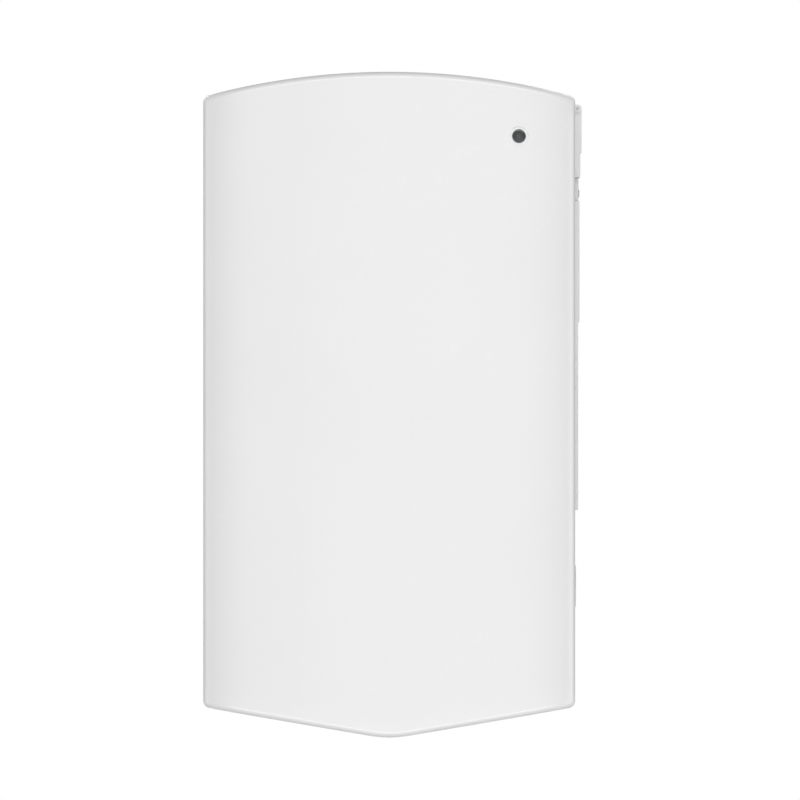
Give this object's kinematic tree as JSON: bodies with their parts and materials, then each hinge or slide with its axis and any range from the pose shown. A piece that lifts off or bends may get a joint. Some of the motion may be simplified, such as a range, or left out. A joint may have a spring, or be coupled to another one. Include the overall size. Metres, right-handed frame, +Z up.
{
  "type": "wall battery unit",
  "caption": "Wall-hung home battery: domed white cover with a status light over a steel battery case, inverters, wiring compartment and isolator.",
  "frame": {"origin": "centre of the wall bolt pattern, on the wall plane", "axes": "+X right as seen from the front, +Y into the wall (the front faces -Y), +Z up"},
  "size_m": [0.3812, 0.318, 0.664],
  "materials": {
    "cover_plastic": "fine moulded texture, satin",
    "galvanised_steel": "zinc flake coating, satin",
    "case_paint": "powder coat, fine texture",
    "sheet_aluminium": "brushed, clear anodised",
    "cast_aluminium": "die cast, shot blasted",
    "zinc_steel": "zinc plated",
    "black_rubber": "matt",
    "black_plastic": "satin",
    "grey_plastic": "satin",
    "breaker_plastic": "satin",
    "red_plastic": "semi-gloss",
    "yellow_plate": "satin",
    "copper": "tinned edges, bright",
    "brass": "bright",
    "board_green": "solder mask",
    "board_parts": "chip and connector mouldings",
    "cell_wrap": "film-wrapped can",
    "spacer_sheet": "fibre sheet",
    "smoked_lens": "polished",
    "clear_acrylic": "polished"
  },
  "bodies": {
    "chassis": {"wall_bracket": "galvanised_steel", "hanger_frame": "galvanised_steel", "machine_screws": "zinc_steel", "battery_case": "case_paint", "case_lid": "sheet_aluminium", "lid_gaskets": "black_rubber", "cells": "cell_wrap", "cell_spacers": "spacer_sheet", "end_plates": "sheet_aluminium", "module_straps": "zinc_steel", "busbars": "copper", "bms_board": "board_green", "bms_components": "board_parts", "board_standoffs": "grey_plastic", "main_fuse": "grey_plastic", "contactor": "black_plastic", "dc_cables": "black_rubber", "pass_grommets": "black_rubber", "breather_plug": "grey_plastic", "microinverter_1": "cast_aluminium", "microinverter_2": "cast_aluminium", "microinverter_3": "cast_aluminium", "microinverter_4": "cast_aluminium", "inverter_plugs": "black_plastic", "ac_bus": "black_rubber", "wiring_box": "case_paint", "wiring_box_rim": "case_paint", "wiring_box_lid": "sheet_aluminium", "din_rail": "zinc_steel", "ac_breaker": "breaker_plastic", "terminal_blocks": "grey_plastic", "terminal_screws": "zinc_steel", "earth_bar": "brass", "comms_board": "board_green", "conduit_hub": "cast_aluminium", "hub_locknut": "zinc_steel", "isolator_body": "black_plastic", "isolator_plate": "yellow_plate", "status_board": "board_green", "light_pipe": "clear_acrylic", "cover_brackets": "zinc_steel", "cover_studs": "zinc_steel", "left_side_cover": "cover_plastic", "right_side_cover": "cover_plastic", "top_cover": "cover_plastic", "bottom_grille": "cover_plastic", "side_cover_screws": "zinc_steel", "vent_panel": "cover_plastic", "side_cap": "cover_plastic", "flap_pins": "zinc_steel", "reset_switch": "black_plastic"},
    "front": {"front_cover": "cover_plastic", "cover_seal": "black_rubber", "cover_grommets": "black_rubber", "status_lens": "smoked_lens", "lens_bezel": "cover_plastic"},
    "flap": {"isolator_flap": "cover_plastic"},
    "button": {"reset_button": "grey_plastic"},
    "handle": {"isolator_handle": "red_plastic"},
    "toggle": {"breaker_toggle": "black_plastic"}
  },
  "joints": [
    {"name": "front_cover_pull", "type": "slide", "parent": "chassis", "child": "front", "axis": [0, -1, 0], "range_m": [0, 0.16]},
    {"name": "flap_hinge", "type": "hinge", "parent": "chassis", "child": "flap", "pos_m": [0.19035, 0, 0.29895], "axis": [0, -1, 0], "range_deg": [0, 110]},
    {"name": "isolator_turn", "type": "hinge", "parent": "chassis", "child": "handle", "pos_m": [0.175, -0.109, 0.2655], "axis": [1, 0, 0], "range_deg": [0, 90]},
    {"name": "reset_press", "type": "slide", "parent": "chassis", "child": "button", "axis": [-1, 0, 0], "range_m": [0, 0.001], "stiffness_N_per_m": 600, "springref_m": -0.002},
    {"name": "breaker_throw", "type": "hinge", "parent": "chassis", "child": "toggle", "pos_m": [-0.032, -0.158, 0.25], "axis": [1, 0, 0], "range_deg": [0, 44]}
  ]
}
